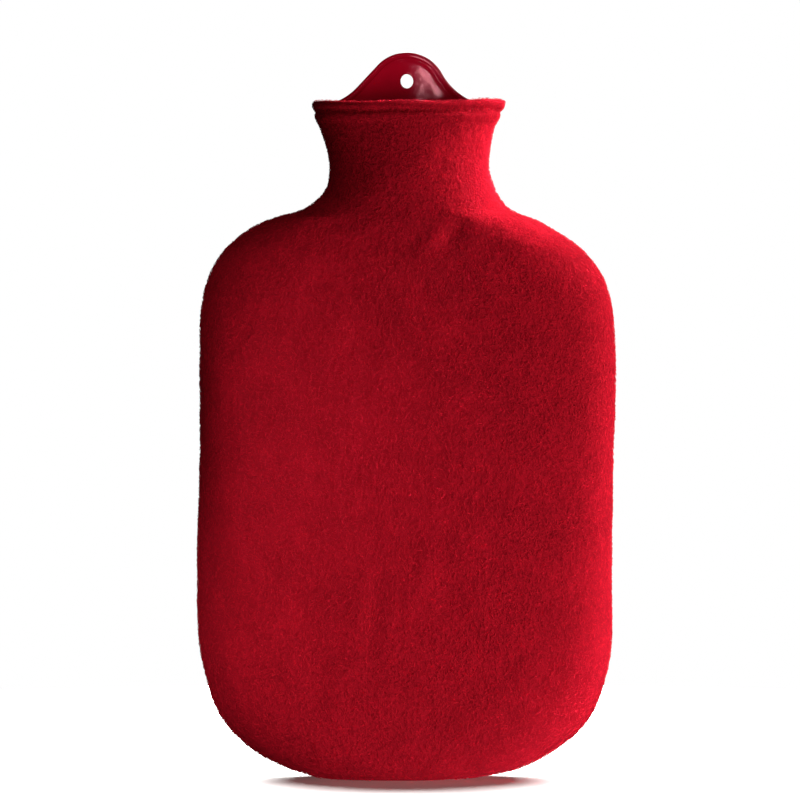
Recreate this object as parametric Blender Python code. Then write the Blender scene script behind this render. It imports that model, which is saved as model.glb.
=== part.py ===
"""A hot water bottle in its fitted fleece cover, standing upright on its base.

The pieces, as a maker cuts, sews and fits them:
  cover_front, cover_back   two fleece panels that meet along a seam round the sides and
                            base; each has its own turned and stitched hem at the neck
  bottle_body               the rubber bottle that the cover is pulled over, plain
  bottle_mouth              the bottle's neck with its throat, funnel, lip and hanging tab

Frame: metres, +Z up, the front looks along -Y, and the origin lies on the floor under the
middle of the base. The sizes and tables below are in millimetres.
"""

import math
from typing import NamedTuple

import bmesh
import bpy
import numpy as np

MM = 0.001

CLOTH = 2.3            # fleece with its pile
FIT = 0.8              # play between the bottle and the inside of the cover
FOLD_PLAY = 1.2        # more of it under a fold, as a share of the fold's height
SEAM_GAP = 0.3         # between the two panels along the seam
FOOT_SEAM = 0.8        # the seam under the base, as a share of the flat foot's width
COLUMNS = 32           # mesh columns across one panel, from seam to seam
SIDE_ROUNDNESS = 2.2   # 2 rounds a section's edges as an ellipse does

HEM_TOP = 321.3        # folded edge of the cover's neck, at the front
HEM_CORNERS = 1.3      # how much higher it runs at the side seams
HEM_SLANT = 0.4        # and how much of that is more on the right
HEM_WAVE = 0.3         # how uneven it is between them
SPLIT = 287.0          # narrowest level of the neck, where bottle_mouth stands on bottle_body
NECK_LEVELS = (294.0, 301.0, 307.0)    # of the bottle's neck between there and its funnel

RIM = 320.3            # lip of the funnel, just inside the hem
WALL = 2.0             # rubber wall of the funnel and tab
BEAD = 3.0             # rolled edge along the lip and round the tab
TAB_TOP = 347.2
TAB_CENTRE = 0.5
TAB_DOME = 19.2        # radius of the tab's round top
TAB_FADE = 8.0         # the tab dies out over this much of the funnel's side
HOLE_WIDTH = 6.0
HOLE_HEIGHT = 6.8
HOLE_LEVEL = 333.3
HOLE_SIDES = 20
FUNNEL_BASE = 311.0    # the neck's outside draws in to the funnel's wall at this level
FUNNEL_TOP = 313.0     # the funnel's inside turns in below this one
BOWL_TURNS = (20.0, 40.0, 60.0, 80.0)  # degrees round the bowl between wall and throat
THROAT_TOP = 302.0
THROAT_RADIUS = 10.5
THROAT_ROUNDING = 1.4
THROAT_FLOOR = 290.0

FLEECE_RED = (0.27, 0.006, 0.012, 1.0)
RUBBER_RED = (0.25, 0.004, 0.011, 1.0)


class Section(NamedTuple):
    """A level cut through the cover, with the reach of its outer face from the middle."""

    height: float
    left: float
    right: float
    depth: float         # from the seam to the front, and to the back
    squareness: float    # 2 is an ellipse, and more is a flatter face
    rows: int            # mesh rows from here up to the next section


COVER = (
    Section(0.0, 39.0, 23.0, 14.0, 2.4, 1),
    Section(1.9, 46.5, 40.0, 17.6, 2.6, 1),
    Section(5.7, 59.3, 57.4, 20.6, 2.9, 1),
    Section(12.4, 72.4, 70.4, 23.4, 3.5, 2),
    Section(29.5, 89.0, 88.6, 25.6, 5.0, 2),
    Section(51.4, 96.7, 96.2, 26.3, 7.4, 4),
    Section(101.0, 100.0, 98.3, 26.0, 10.0, 3),
    Section(144.0, 98.7, 99.0, 25.0, 10.8, 3),
    Section(205.0, 98.6, 100.0, 23.2, 10.2, 2),
    Section(223.0, 98.0, 99.0, 22.5, 8.4, 2),
    Section(237.0, 95.3, 95.2, 21.8, 6.4, 3),
    Section(251.4, 87.2, 85.2, 21.2, 4.5, 2),
    Section(258.6, 79.5, 75.7, 21.1, 3.5, 2),
    Section(265.7, 67.6, 63.3, 21.2, 2.7, 2),
    Section(272.9, 46.4, 48.0, 21.5, 2.15, 2),
    Section(280.0, 39.2, 43.5, 22.0, 1.95, 2),
    Section(SPLIT, 37.2, 40.9, 22.5, 1.8, 2),
    Section(301.4, 39.1, 41.0, 22.9, 1.85, 2),
    Section(311.0, 42.4, 43.3, 23.3, 2.05, 1),
    Section(HEM_TOP, 45.2, 48.0, 24.0, 2.2, 0),
)


class HemRow(NamedTuple):
    """A level of the turned hem, and how far its layers stand out from a plain panel."""

    drop: float     # below the folded edge
    outer: float
    inner: float


HEM = (
    HemRow(10.4, 0.0, 0.0),
    HemRow(9.0, 0.5, 1.0),
    HemRow(7.2, 0.8, 1.2),
    HemRow(4.9, 0.0, 0.9),    # drawn in along the stitches
    HemRow(2.8, 0.8, 1.2),
)
HEM_FOLD_ROWS = 3      # over the folded edge
BEAD_TURNS = (-30.0, 30.0, 90.0, 150.0, 210.0)    # degrees round the lip's rolled edge
SHARP_ANGLE = 50.0     # edges that turn more than this many degrees stay crisp


class Flank(NamedTuple):
    """How one side of the tab runs down from its dome to the lip."""

    slope: float     # in degrees
    fillet: float    # radius where it flares out into the lip


LEFT_FLANK = Flank(47.5, 30.0)
RIGHT_FLANK = Flank(61.0, 32.0)


class Fold(NamedTuple):
    """A soft ridge in a panel, or a trough where its height is below 0."""

    side: int        # -1 is the front and 1 the back
    x: float
    z: float
    angle: float     # of its run, in degrees from +X
    length: float    # from its middle to where it has faded to a third
    width: float
    height: float


FOLDS = (
    Fold(-1, 22.5, 257.5, 58.0, 8.0, 4.0, -1.7),     # crease from the neck's right root
    Fold(-1, 35.0, 261.0, -22.0, 17.0, 6.0, 0.8),     # ridge over it, towards the shoulder
    Fold(-1, 36.0, 253.5, -22.0, 14.0, 5.5, -0.3),
    Fold(-1, 10.5, 254.5, 44.0, 10.0, 4.5, 0.8),
    Fold(-1, -10.0, 243.0, -5.0, 18.0, 6.5, 1.0),     # soft roll under the neck
    Fold(-1, -8.0, 252.5, -8.0, 20.0, 5.5, -0.7),
    Fold(-1, -32.0, 263.0, 10.0, 14.0, 6.0, -1.2),    # hollow at the neck's left root
    Fold(-1, -21.5, 82.0, 84.0, 22.0, 4.5, 0.5),      # upright creases above the base
    Fold(-1, -15.0, 76.0, 86.0, 20.0, 4.0, -0.5),
    Fold(-1, -9.0, 78.0, 82.0, 13.0, 4.5, 0.4),
    Fold(-1, 7.0, 92.0, 55.0, 13.0, 5.0, 0.4),
    Fold(-1, 19.5, 89.0, -50.0, 15.0, 5.0, -0.4),
    Fold(-1, -41.0, 52.0, 88.0, 18.0, 6.0, -0.8),
    Fold(-1, -84.0, 55.0, -62.0, 20.0, 7.0, 1.5),     # bulge over the left corner
    Fold(-1, -88.0, 80.0, 8.0, 10.0, 5.0, -1.4),
    Fold(1, -22.0, 256.0, -44.0, 12.0, 5.5, -1.8),
    Fold(1, 24.0, 258.0, 40.0, 12.0, 5.5, -1.5),
    Fold(1, 4.0, 246.0, 4.0, 22.0, 7.0, 1.1),
    Fold(1, 30.0, 80.0, 82.0, 20.0, 6.5, -1.1),
    Fold(1, -38.0, 66.0, -78.0, 18.0, 6.0, 1.0),
)


def outline_distances():
    """How far along the cover's outline, from the foot to the hem, each section lies."""
    rise = np.diff([section.height for section in COVER])
    reach = np.diff([(section.left + section.right) / 2 for section in COVER])
    return np.concatenate([[0.0], np.cumsum(np.hypot(rise, reach))])


DISTANCES = outline_distances()
SIZES = np.array([section[:5] for section in COVER])
SLOPES = np.gradient(SIZES, DISTANCES, axis=0)


def sizes_at(distance):
    """Height, left, right, depth and squareness on smooth curves through the table."""
    below = np.searchsorted(DISTANCES, distance, side="right") - 1
    below = min(max(int(below), 0), len(COVER) - 2)
    span = DISTANCES[below + 1] - DISTANCES[below]
    t = (distance - DISTANCES[below]) / span
    return ((2 * t**3 - 3 * t**2 + 1) * SIZES[below]
            + (t**3 - 2 * t**2 + t) * span * SLOPES[below]
            + (3 * t**2 - 2 * t**3) * SIZES[below + 1]
            + (t**3 - t**2) * span * SLOPES[below + 1])


def row_distances():
    """Where the mesh rows of the plain part of the cover lie along its outline."""
    rows = []
    for index, section in enumerate(COVER[:-1]):
        ends = DISTANCES[index], DISTANCES[index + 1]
        rows.extend(np.linspace(*ends, section.rows, endpoint=False))
    return rows[:-1]


FINE_DISTANCES = np.linspace(0.0, DISTANCES[-1], 800)
FINE_HEIGHTS = np.array([sizes_at(distance)[0] for distance in FINE_DISTANCES])


def distance_of(height):
    """How far along the outline a height lies."""
    return float(np.interp(height, FINE_HEIGHTS, FINE_DISTANCES))


def half_section(left, right, depth, squareness):
    """Evenly spaced x and y from the left seam to the right, over a face at +y."""
    turn = np.linspace(math.pi, 0.0, 721)
    across = np.cos(turn)
    out = np.sin(turn)
    x = np.sign(across) * np.abs(across) ** (2 / squareness)
    x = x * np.where(across < 0, left, right)
    y = depth * np.abs(out) ** (2 / SIDE_ROUNDNESS)
    run = np.concatenate([[0.0], np.cumsum(np.hypot(np.diff(x), np.diff(y)))])
    even = np.linspace(0.0, run[-1], COLUMNS + 1)
    y_even = np.interp(even, run, y)
    y_even[[0, -1]] = 0.0
    return np.interp(even, run, x), y_even


def ring(sizes, inset=0.0):
    """A level section as points: the front from left to right, then the back to the left."""
    height, left, right, depth, squareness = sizes
    x, y = half_section(left - inset, right - inset, depth - inset, squareness)
    front = np.stack([x, -y, np.full_like(x, height)], axis=1)
    back = front[-2:0:-1] * (1, -1, 1)
    return np.concatenate([front, back])


def normals_of(skin):
    """Outward unit normals of a skin of rings, kept in the seam's plane along the seam."""
    along = np.roll(skin, -1, axis=1) - np.roll(skin, 1, axis=1)
    up = np.gradient(skin, axis=0)
    normals = np.cross(along, up)
    normals[:, [0, COLUMNS], 1] = 0.0
    return normals / np.linalg.norm(normals, axis=2, keepdims=True)


def fold_height(x, z, side, size=float):
    """How far the folds of one side lift its cloth at a point; abs counts troughs as ridges."""
    lift = 0.0
    for fold in FOLDS:
        if fold.side != side:
            continue
        angle = math.radians(fold.angle)
        along = (x - fold.x) * math.cos(angle) + (z - fold.z) * math.sin(angle)
        across = (z - fold.z) * math.cos(angle) - (x - fold.x) * math.sin(angle)
        fade = math.exp(-(along / fold.length) ** 2 - (across / fold.width) ** 2)
        lift += size(fold.height) * fade
    return lift


def fold_lifts(skin, size=float):
    """How far the folds lift each point of a skin; they fade out towards the seam."""
    lifts = np.zeros((*skin.shape[:2], 1))
    for row, points in enumerate(skin):
        reach = np.abs(points[:, 0]).max()
        for column, (x, _, z) in enumerate(points):
            side = -1 if column <= COLUMNS else 1
            lifts[row, column] = fold_height(x, z, side, size) * (1 - abs(x / reach) ** 8)
    return lifts


def hem_rise():
    """How much the hem's edge rises and dips at each column, from the left seam round."""
    turn = np.arange(2 * COLUMNS) / COLUMNS * math.pi
    corners = HEM_CORNERS * np.cos(turn) ** 2 - HEM_SLANT * np.cos(turn)
    return corners + HEM_WAVE * np.sin(5 * turn + 0.6)


def neck_rows(drops):
    """Rings of the neck at drops below the hem's edge, rising and dipping with it."""
    rings = np.array([ring(sizes_at(distance_of(HEM_TOP - drop))) for drop in drops])
    fade = 1 - np.array(drops) / HEM[0].drop
    rings[:, :, 2] += fade[:, None] * hem_rise()
    return rings


PLAIN_SKIN = np.array([ring(sizes_at(distance)) for distance in row_distances()])
PLAIN_NORMALS = normals_of(PLAIN_SKIN)
SKIN = PLAIN_SKIN + PLAIN_NORMALS * fold_lifts(PLAIN_SKIN)
NORMALS = normals_of(SKIN)
HEM_SKIN = neck_rows([row.drop for row in HEM])
HEM_NORMALS = normals_of(HEM_SKIN)
INNER_ROWS = [row for row in range(2, len(SKIN)) if row % 2 == 0]


def foot_ring(inset):
    """The edge of the flat foot, for a skin that lies this far inside the cover."""
    foot = ring(sizes_at(0.0), inset)
    foot[:, 2] = inset
    return foot


def seam_line(inset):
    """The seam under the base, as a ring that has closed up to a line."""
    line = foot_ring(inset)
    line[:, 0] *= FOOT_SEAM
    line[:, 1] = 0.0
    return line


def folded_edge():
    """Rings over the hem's folded edge, from its outside to its inside."""
    last = HEM[-1]
    radius = (CLOTH + last.outer + last.inner) / 2
    rings = []
    for step in range(1, HEM_FOLD_ROWS + 1):
        turn = math.pi * step / (HEM_FOLD_ROWS + 1)
        offset = last.outer - radius + radius * math.cos(turn)
        drop = last.drop * (1 - math.sin(turn))
        rings.append(neck_rows([drop])[0] + HEM_NORMALS[-1] * (1, 1, 0) * offset)
    return rings


def cover_rings():
    """The cover's rings: up its outside, over the hem and down its inside."""
    rings = [seam_line(0.0)]
    rings.extend(SKIN)
    rings.extend(HEM_SKIN[i] + HEM_NORMALS[i] * row.outer for i, row in enumerate(HEM))
    rings.extend(folded_edge())
    inside = [SKIN[row] - NORMALS[row] * CLOTH for row in INNER_ROWS]
    inside.extend(HEM_SKIN[i] - HEM_NORMALS[i] * (CLOTH + row.inner) for i, row in enumerate(HEM))
    rings.extend(reversed([seam_line(CLOTH), foot_ring(CLOTH)] + inside))
    return np.array(rings)


def solid(name, rows, material):
    """A closed piece: a grid laid on rows of points, welded where it meets itself and capped."""
    rows = np.array(rows) * MM
    bm = bmesh.new()
    bmesh.ops.create_grid(bm, x_segments=rows.shape[1] - 1, y_segments=rows.shape[0] - 1)
    for vertex, point in zip(bm.verts, rows.reshape(-1, 3)):
        vertex.co = point
    bmesh.ops.remove_doubles(bm, verts=bm.verts, dist=1e-6)
    bmesh.ops.holes_fill(bm, edges=bm.edges, sides=0)
    bmesh.ops.recalc_face_normals(bm, faces=bm.faces)
    mesh = bpy.data.meshes.new(name)
    bm.to_mesh(mesh)
    bm.free()
    mesh.shade_smooth()
    mesh.set_sharp_from_angle(angle=math.radians(SHARP_ANGLE))
    mesh.materials.append(material)
    made = bpy.data.objects.new(name, mesh)
    bpy.context.scene.collection.objects.link(made)
    return made


def closed(rings):
    """Rings whose last point repeats the first, so that the grid on them welds shut."""
    rings = np.array(rings)
    return np.concatenate([rings, rings[:, :1]], axis=1)


def cover_panel(name, side, material):
    """The front panel (side -1) or the back one (side 1), moved off the seam's plane."""
    rings = closed(cover_rings())
    half = rings[:, :COLUMNS + 1] if side < 0 else rings[:, COLUMNS:]
    return solid(name, half + (0, side * SEAM_GAP / 2, 0), material)


def bottle_body(material):
    """The bottle up to the neck's waist, on the inside of the cover and clear of its folds."""
    inset = CLOTH + FIT
    below = [row for row in INNER_ROWS if PLAIN_SKIN[row][0, 2] < SPLIT - SEAM_GAP]
    rings = [foot_ring(inset)]
    play = inset + FOLD_PLAY * fold_lifts(PLAIN_SKIN, abs)
    rings.extend(PLAIN_SKIN[row] - PLAIN_NORMALS[row] * play[row] for row in below)
    rings.append(split_row(-SEAM_GAP / 2))
    return solid("bottle_body", closed(rings), material)


def neck_outside(height):
    """The bottle's outer face in the plain part of the neck."""
    rings = np.array([ring(sizes_at(distance_of(height + step))) for step in (-1, 0, 1)])
    level = rings[1] - normals_of(rings)[1] * (CLOTH + FIT)
    level[:, 2] = height
    return level


def split_row(step):
    """Where the bottle's two pieces meet, a step above or below the level between them."""
    row = neck_outside(SPLIT)
    row[:, 2] += step
    return row


def wall_middle(height):
    """The middle of the funnel's wall, inside the hem, as plan points and outward normals."""
    inset = CLOTH + HEM[-1].inner + FIT + BEAD / 2
    rings = np.array([ring(sizes_at(distance_of(height)))] * 3)
    rings[:, :, 2] += np.array([[-1], [0], [1]])
    normals = normals_of(rings)[1]
    middle = rings[1] - normals * inset
    return middle[:, :2], normals[:, :2]


RIM_PLAN, RIM_NORMALS = wall_middle(RIM)


def flank_heights(out, flank):
    """Height over the lip at distances out from the tab's middle: dome, slope, fillet."""
    slope = math.radians(flank.slope)
    height = TAB_TOP - RIM
    drop = (TAB_DOME + flank.fillet) * (1 - math.cos(slope))
    dome_end = TAB_DOME * math.sin(slope)
    fillet_start = dome_end + (height - drop) / math.tan(slope)
    fillet_end = fillet_start + flank.fillet * math.sin(slope)
    dome = height - TAB_DOME + np.sqrt(np.clip(TAB_DOME**2 - out**2, 0.0, None))
    straight = height - TAB_DOME * (1 - math.cos(slope)) - (out - dome_end) * math.tan(slope)
    to_end = np.clip(fillet_end - out, 0.0, None)
    fillet = flank.fillet - np.sqrt(np.clip(flank.fillet**2 - to_end**2, 0.0, None))
    return np.where(out < dome_end, dome, np.where(out < fillet_start, straight, fillet))


def lip_heights():
    """The lip's height at each column: level round the front, the tab at the back."""
    x = RIM_PLAN[:, 0] - TAB_CENTRE
    tab = np.where(x < 0, flank_heights(-x, LEFT_FLANK), flank_heights(x, RIGHT_FLANK))
    behind = np.clip(RIM_PLAN[:, 1] / TAB_FADE + 0.5, 0.0, 1.0)
    return RIM + tab * behind**2 * (3 - 2 * behind)


def lip_row(inset, offset):
    """A row this far in from the lip's edge, and this far out from the wall's middle."""
    plan = np.concatenate([RIM_PLAN, RIM_PLAN[:1]])
    run = np.concatenate([[0.0], np.cumsum(np.hypot(*np.diff(plan, axis=0).T))])
    heights = lip_heights()
    ahead = np.roll(heights, -1) - np.roll(heights, 1)
    step = np.gradient(run)[:-1] * 2
    length = np.hypot(ahead, step)
    along = run[:-1] + inset * ahead / length
    level = heights - inset * step / length
    x = np.interp(along, run, plan[:, 0], period=run[-1])
    y = np.interp(along, run, plan[:, 1], period=run[-1])
    flare = (wall_middle(RIM - BEAD)[0] - RIM_PLAN) * np.clip((RIM - level) / BEAD, 0, 1)[:, None]
    spot = np.stack([x, y], axis=1) + flare + RIM_NORMALS * offset
    return np.concatenate([spot, level[:, None]], axis=1)


def wall_row(height, offset):
    """A level row of the wall, this far out from its middle."""
    plan, normals = wall_middle(height)
    level = np.full((len(plan), 1), height)
    return np.concatenate([plan + normals * offset, level], axis=1)


def circle_row(radius, height):
    """A level circle with the rings' columns, round the bottle's axis."""
    turn = math.pi + np.arange(2 * COLUMNS) / COLUMNS * math.pi
    level = np.full_like(turn, height)
    return np.stack([radius * np.cos(turn), radius * np.sin(turn), level], axis=1)


def between(first, second, share):
    """A row part of the way from one row to another."""
    return first + (second - first) * share


def lip_bead():
    """Rows over the rolled edge, from the wall's outside to its inside."""
    profile = [(BEAD, WALL / 2)]
    for degrees in BEAD_TURNS:
        turn = math.radians(degrees)
        profile.append((BEAD / 2 * (1 - math.sin(turn)), BEAD / 2 * math.cos(turn)))
    profile.append((BEAD, -WALL / 2))
    return [lip_row(inset, offset) for inset, offset in profile]


def funnel():
    """Rows down the bowl inside the wall, round into the throat and to its floor."""
    top = wall_row(FUNNEL_TOP, -WALL / 2)
    throat = circle_row(THROAT_RADIUS + THROAT_ROUNDING, THROAT_TOP)
    rows = [top]
    for degrees in BOWL_TURNS:
        turn = math.radians(degrees)
        bowl = between(top, throat, 1 - math.cos(turn))
        bowl[:, 2] = FUNNEL_TOP - (FUNNEL_TOP - THROAT_TOP) * math.sin(turn)
        rows.append(bowl)
    rows.append(throat)
    rows.append(circle_row(THROAT_RADIUS, THROAT_TOP - THROAT_ROUNDING))
    rows.append(circle_row(THROAT_RADIUS, THROAT_FLOOR))
    return rows


def hanging_hole():
    """A guide that cuts the oval hole through the tab."""
    bm = bmesh.new()
    bmesh.ops.create_cone(bm, cap_ends=True, segments=HOLE_SIDES, radius1=MM / 2,
                          radius2=MM / 2, depth=4 * BEAD * MM)
    cutter = bpy.data.objects.new("hanging_hole_guide", bpy.data.meshes.new("hanging_hole_guide"))
    bm.to_mesh(cutter.data)
    bm.free()
    bpy.context.scene.collection.objects.link(cutter)
    cutter.scale = (HOLE_WIDTH, HOLE_HEIGHT, 1.0)
    cutter.rotation_euler = (math.radians(90), 0.0, 0.0)
    depth = RIM_PLAN[:, 1].max()
    cutter.location = (TAB_CENTRE * MM, depth * MM, HOLE_LEVEL * MM)
    cutter.hide_render = True
    cutter.display_type = "WIRE"
    return cutter


def bottle_mouth(material):
    """The neck above its waist: outside, lip with the tab, funnel and throat."""
    rows = [split_row(SEAM_GAP / 2)]
    rows.extend(neck_outside(level) for level in NECK_LEVELS)
    bead = lip_bead()
    wall = wall_row(FUNNEL_BASE, WALL / 2)
    rows.append(wall)
    rows.append(between(wall, bead[0], 0.5))
    rows.extend(bead)
    bowl = funnel()
    rows.append(between(bead[-1], bowl[0], 0.5))
    rows.extend(bowl)
    mouth = solid("bottle_mouth", closed(rows), material)
    cut = mouth.modifiers.new("hanging hole", "BOOLEAN")
    cut.operation = "DIFFERENCE"
    cut.solver = "EXACT"
    cut.object = hanging_hole()
    return mouth


def principled(name, colour, roughness):
    """A plain non-metal finish."""
    material = bpy.data.materials.new(name)
    material.use_nodes = True
    shader = material.node_tree.nodes["Principled BSDF"]
    shader.inputs["Base Color"].default_value = colour
    shader.inputs["Roughness"].default_value = roughness
    shader.inputs["Metallic"].default_value = 0.0
    return material


def build():
    """Clears the scene and makes the four pieces."""
    for old in list(bpy.data.objects):
        bpy.data.objects.remove(old)
    cover_panel("cover_front", -1, principled("front fleece", FLEECE_RED, 0.95))
    cover_panel("cover_back", 1, principled("back fleece", FLEECE_RED, 0.95))
    bottle_body(principled("body rubber", RUBBER_RED, 0.4))
    bottle_mouth(principled("mouth rubber", RUBBER_RED, 0.25))


build()
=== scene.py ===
# %% [markdown]
# # A hot water bottle in its fleece cover
#
# The real thing is a moulded rubber bottle inside a slip-on cover. The cover is two panels of
# brushed polyester fleece, sewn together along the sides and base, with a turned and stitched
# hem round the neck. Only the bottle's glossy hanging tab looks out over the hem.
#
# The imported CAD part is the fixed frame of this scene: it says where every surface is. Each
# piece here is rebuilt on the same table of level sections at a finer step, and then gets what
# the plain solids leave out: soft creases, rolled seams, stitches, pile and finish.

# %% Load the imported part
import math
from typing import NamedTuple

import bmesh
import bpy
import numpy as np
from mathutils import Matrix, Vector, noise


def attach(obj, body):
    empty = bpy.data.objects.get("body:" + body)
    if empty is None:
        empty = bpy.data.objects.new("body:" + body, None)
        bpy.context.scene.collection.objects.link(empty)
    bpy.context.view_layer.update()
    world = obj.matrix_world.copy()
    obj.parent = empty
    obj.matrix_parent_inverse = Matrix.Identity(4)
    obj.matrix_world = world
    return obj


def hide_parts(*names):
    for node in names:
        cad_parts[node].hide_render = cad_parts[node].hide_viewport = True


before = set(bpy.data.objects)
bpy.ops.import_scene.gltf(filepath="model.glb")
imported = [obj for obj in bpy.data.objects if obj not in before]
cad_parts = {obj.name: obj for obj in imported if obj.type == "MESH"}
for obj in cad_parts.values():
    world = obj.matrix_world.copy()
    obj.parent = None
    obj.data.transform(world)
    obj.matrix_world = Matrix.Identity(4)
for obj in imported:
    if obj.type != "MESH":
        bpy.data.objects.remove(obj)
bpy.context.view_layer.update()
MM = 0.001
print("CAD nodes:", sorted(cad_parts))

# %% [markdown]
# ## Camera
#
# The photo looks straight at the front from its middle height. At 1.8 m the picture's side is
# 381 mm wide, so the focal length follows from the two.

# %% Camera
CAMERA_DISTANCE = 1.8
PICTURE_WIDTH = 0.381
camera_data = bpy.data.cameras.new("photo_camera")
camera_data.sensor_width = 36.0
camera_data.lens = camera_data.sensor_width * CAMERA_DISTANCE / PICTURE_WIDTH
camera = bpy.data.objects.new("photo_camera", camera_data)
camera.location = (-0.00286, -CAMERA_DISTANCE, 0.180)
camera.rotation_euler = (math.radians(90), 0.0, 0.0)
bpy.context.scene.collection.objects.link(camera)
bpy.context.scene.camera = camera
print("focal length:", round(camera_data.lens, 1), "mm")

# %% [markdown]
# ## The cover's form as a table
#
# A cover pulled over a filled bottle has one smooth outline, so a short table of level
# sections describes it: how high, how far out the left and right seams lie, how deep it is,
# and how square. The numbers are the part's own, in millimetres. Smooth curves run through
# them, so the mesh can have as many rows as a soft crease needs.

# %% The table of sections
CLOTH = 2.3            # fleece with its pile
PILE = 0.8             # of that, fibres that stand out over the cloth
FIT = 0.8              # play between the bottle and the inside of the cover
SEAM_GAP = 0.3
FOOT_SEAM = 0.8        # the seam under the base, as a share of the flat foot's width
SIDE_ROUNDNESS = 2.2   # 2 rounds a section's edges as an ellipse does
SPLIT = 287.0          # narrowest level of the neck


class Section(NamedTuple):
    """A level cut through the cover, with the reach of its outer face from the middle."""

    height: float
    left: float
    right: float
    depth: float
    squareness: float


COVER = (
    Section(0.0, 39.0, 23.0, 14.0, 2.4),
    Section(1.9, 46.5, 40.0, 17.6, 2.6),
    Section(5.7, 59.3, 57.4, 20.6, 2.9),
    Section(12.4, 72.4, 70.4, 23.4, 3.5),
    Section(29.5, 89.0, 88.6, 25.6, 5.0),
    Section(51.4, 96.7, 96.2, 26.3, 7.4),
    Section(101.0, 100.0, 98.3, 26.0, 10.0),
    Section(144.0, 98.7, 99.0, 25.0, 10.8),
    Section(205.0, 98.6, 100.0, 23.2, 10.2),
    Section(223.0, 98.0, 99.0, 22.5, 8.4),
    Section(237.0, 95.3, 95.2, 21.8, 6.4),
    Section(251.4, 87.2, 85.2, 21.2, 4.5),
    Section(258.6, 79.5, 75.7, 21.1, 3.5),
    Section(265.7, 67.6, 63.3, 21.2, 2.7),
    Section(272.9, 46.4, 48.0, 21.5, 2.15),
    Section(280.0, 39.2, 43.5, 22.0, 1.95),
    Section(SPLIT, 37.2, 40.9, 22.5, 1.8),
    Section(301.4, 39.1, 41.0, 22.9, 1.85),
    Section(311.0, 42.4, 43.3, 23.3, 2.05),
    Section(321.3, 45.2, 48.0, 24.0, 2.2),
)
HEM_TOP = COVER[-1].height
SIZES = np.array(COVER)
REACH = (SIZES[:, 1] + SIZES[:, 2]) / 2
DISTANCES = np.concatenate([[0.0], np.cumsum(np.hypot(np.diff(SIZES[:, 0]), np.diff(REACH)))])
SLOPES = np.gradient(SIZES, DISTANCES, axis=0)
print("outline from foot to hem:", round(DISTANCES[-1]), "mm")


# %% Smooth curves through the table
def sizes_at(distances):
    """Height, left, right, depth and squareness at distances along the outline."""
    below = np.clip(np.searchsorted(DISTANCES, distances, side="right") - 1, 0, len(COVER) - 2)
    span = (DISTANCES[below + 1] - DISTANCES[below])[:, None]
    t = (distances - DISTANCES[below])[:, None] / span
    return ((2 * t**3 - 3 * t**2 + 1) * SIZES[below]
            + (t**3 - 2 * t**2 + t) * span * SLOPES[below]
            + (3 * t**2 - 2 * t**3) * SIZES[below + 1]
            + (t**3 - t**2) * span * SLOPES[below + 1])


FINE_DISTANCES = np.linspace(0.0, DISTANCES[-1], 800)
FINE_HEIGHTS = sizes_at(FINE_DISTANCES)[:, 0]


def sizes_of_heights(heights):
    """The same sizes at given heights."""
    return sizes_at(np.interp(heights, FINE_HEIGHTS, FINE_DISTANCES))


print("sizes 100 mm up:", sizes_of_heights(np.array([100.0]))[0].round(1))


# %% Rings of points round the cover
def ring(sizes, shares, inset=0.0):
    """A level section: the front from left to right, then the back to the left.
    shares say where the points of a half lie, as shares of its length from the left seam."""
    height, left, right, depth, squareness = sizes
    turn = np.linspace(math.pi, 0.0, 721)
    across = np.cos(turn)
    x = np.sign(across) * np.abs(across) ** (2 / squareness)
    x = x * np.where(across < 0, left - inset, right - inset)
    y = (depth - inset) * np.abs(np.sin(turn)) ** (2 / SIDE_ROUNDNESS)
    run = np.concatenate([[0.0], np.cumsum(np.hypot(np.diff(x), np.diff(y)))])
    at = shares * run[-1]
    front = np.stack([np.interp(at, run, x), -np.interp(at, run, y),
                      np.full(len(at), height)], axis=1)
    front[[0, -1], 1] = 0.0
    return np.concatenate([front, front[-2:0:-1] * (1, -1, 1)])


def rings(all_sizes, shares):
    """One ring for each row of sizes."""
    return np.array([ring(sizes, shares) for sizes in all_sizes])


def normals_of(skin):
    """Outward unit normals of a skin of rings, kept in the seam's plane along the seam."""
    along = np.roll(skin, -1, axis=1) - np.roll(skin, 1, axis=1)
    normals = np.cross(along, np.gradient(skin, axis=0))
    normals[:, [0, skin.shape[1] // 2], 1] = 0.0
    return normals / np.linalg.norm(normals, axis=2, keepdims=True)


print("a ring of 8 points:", ring(sizes_of_heights(np.array([100.0]))[0],
                                  np.linspace(0, 1, 5)).round().tolist())

# %% [markdown]
# ## Creases
#
# The cover pulls where it turns from the shoulder into the neck, sags a little over the
# middle of its base, and bulges at its lower left corner. Each crease is one soft ridge, or
# trough where its height is below 0: a bump that fades along and across its run. They are
# placed one by one, as uneven as the real ones.

# %% The table of creases
class Crease(NamedTuple):
    """A soft ridge on the front (side -1) or back (side 1)."""

    side: int
    x: float
    z: float
    angle: float     # of its run, in degrees from +X
    length: float    # from its middle to where it has faded to a third
    width: float
    height: float


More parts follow.
